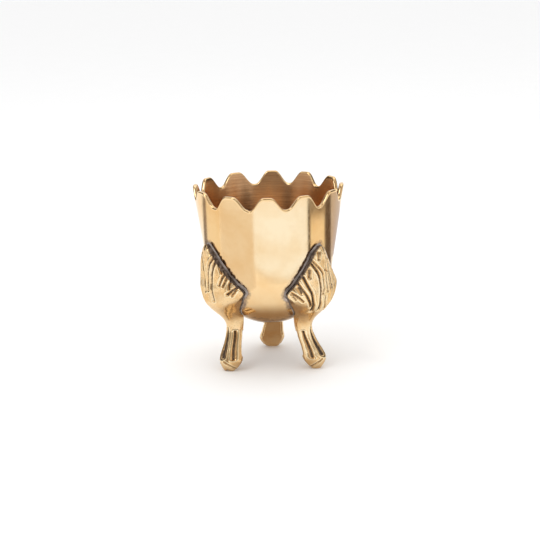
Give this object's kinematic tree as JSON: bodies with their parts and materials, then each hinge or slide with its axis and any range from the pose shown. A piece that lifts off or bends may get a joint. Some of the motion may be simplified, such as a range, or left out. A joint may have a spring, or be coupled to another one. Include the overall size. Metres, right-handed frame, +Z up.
{
  "type": "footed brass cup",
  "caption": "Small deep turned brass cup with a scalloped rim, standing on cast animal legs soldered to its wall; holds a candle, a small plant or sweets.",
  "frame": {"origin": "on the floor that the feet stand on, on the axis of the turned cup", "axes": "+Z up along the cup's axis; -Y is the front, between the front legs; +X is to the right seen from the front"},
  "size_m": [0.0821, 0.0822, 0.1],
  "materials": {
    "turned_brass": "turned and polished",
    "cast_brass": "cast, polished on the high parts, dark in the grooves",
    "solder": "dull, oxidised soft solder"
  },
  "bodies": {
    "root": {"cup": "turned_brass", "leg_front_right": "cast_brass", "leg_front_left": "cast_brass", "leg_back": "cast_brass", "solder_front_right": "solder", "solder_front_left": "solder", "solder_back": "solder"}
  },
  "joints": []
}
